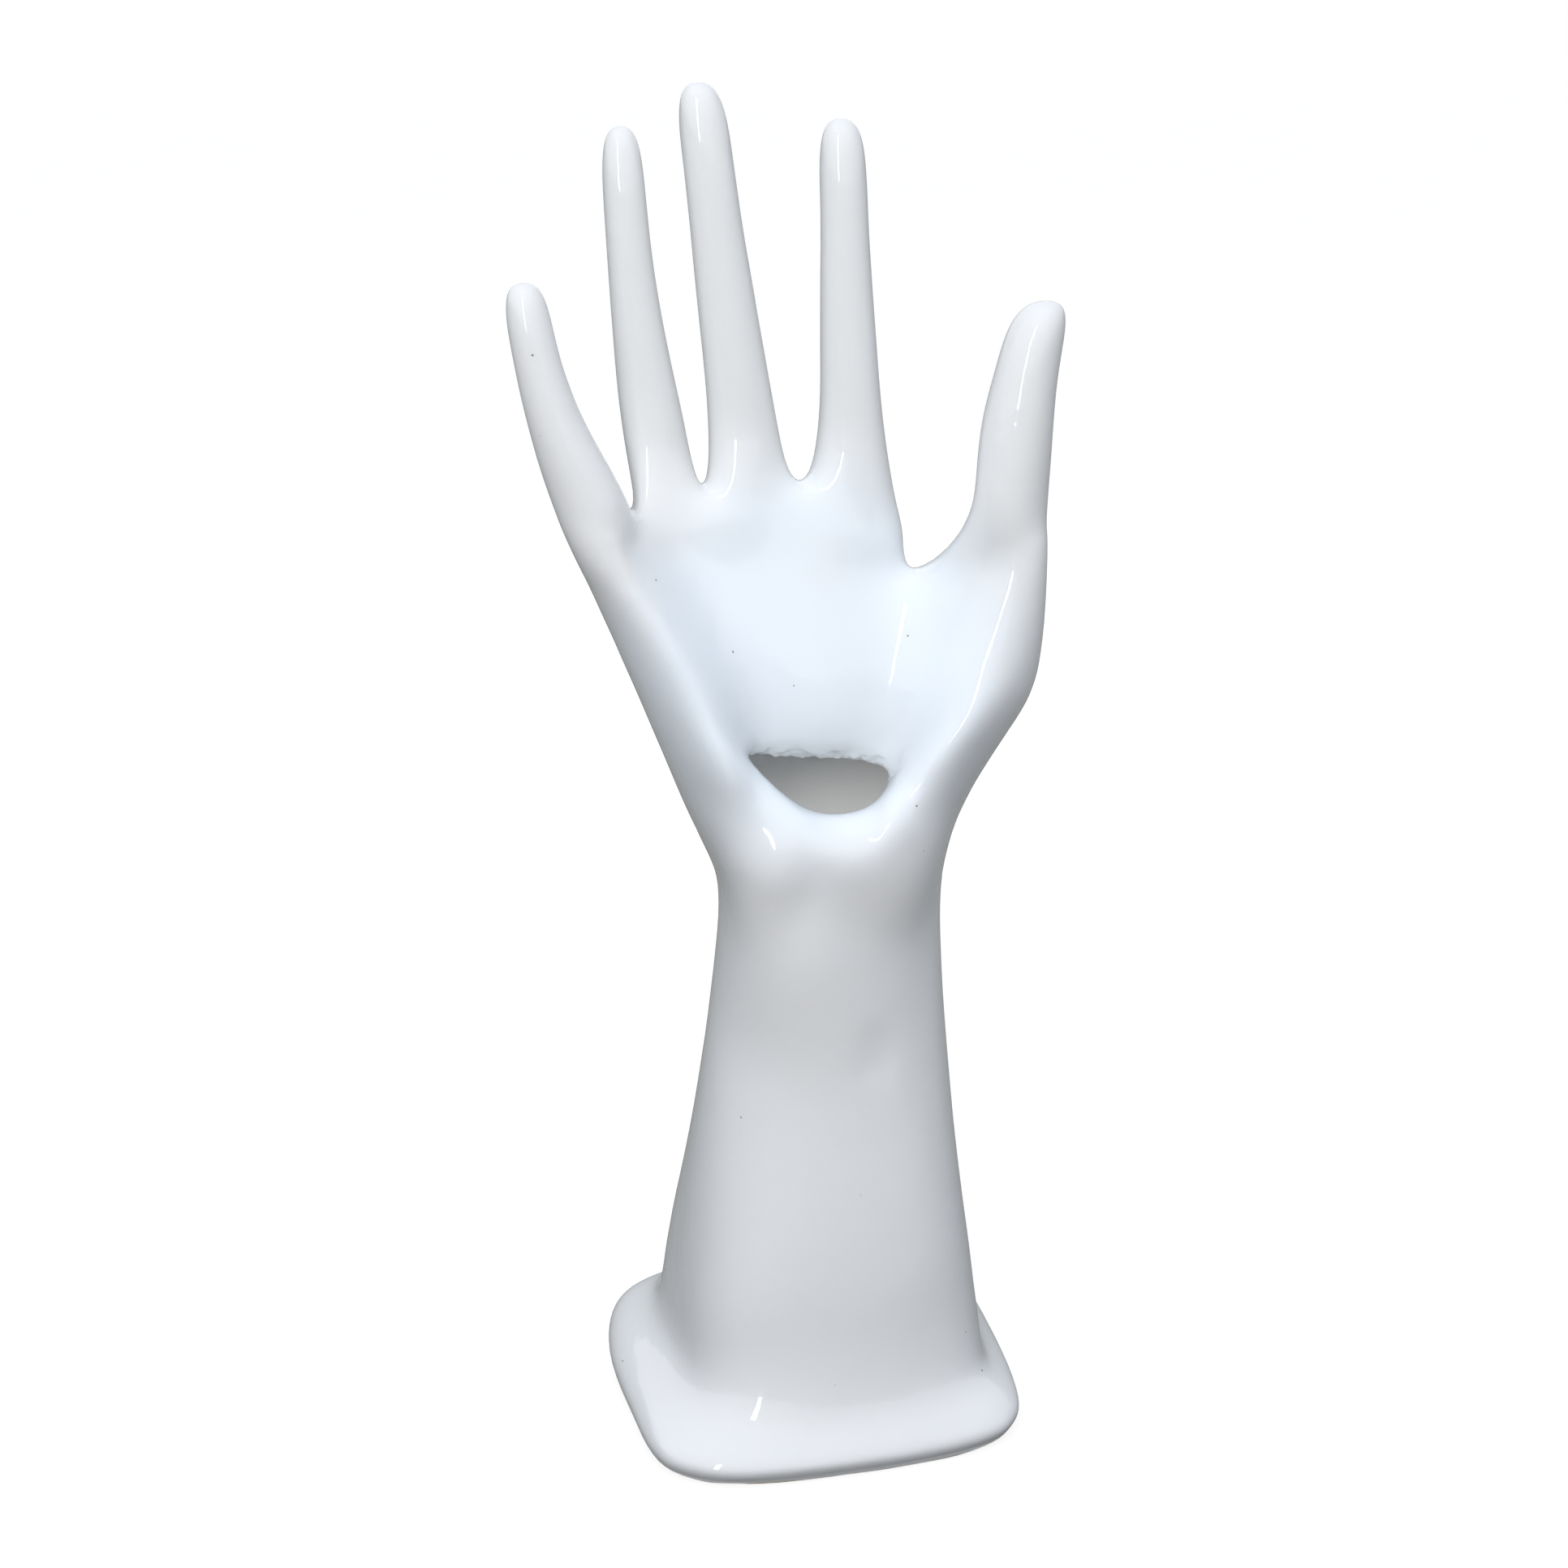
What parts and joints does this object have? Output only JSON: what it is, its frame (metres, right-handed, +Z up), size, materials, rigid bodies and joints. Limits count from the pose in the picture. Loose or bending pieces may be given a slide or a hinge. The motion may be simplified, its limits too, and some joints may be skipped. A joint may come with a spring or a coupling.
{
  "type": "hand jewelry stand",
  "caption": "Life-size porcelain hand on a square foot, with spread fingers for rings and chains and a pocket at the heel of the palm.",
  "frame": {"origin": "on the table, under the middle of the whole piece seen from above", "axes": "+Z up along the forearm and fingers, -Y out of the palm, +X towards the thumb"},
  "size_m": [0.117, 0.0939, 0.2934],
  "materials": {
    "glazed_porcelain": "white high-gloss glaze"
  },
  "bodies": {
    "root": {"hand": "glazed_porcelain"}
  },
  "joints": []
}
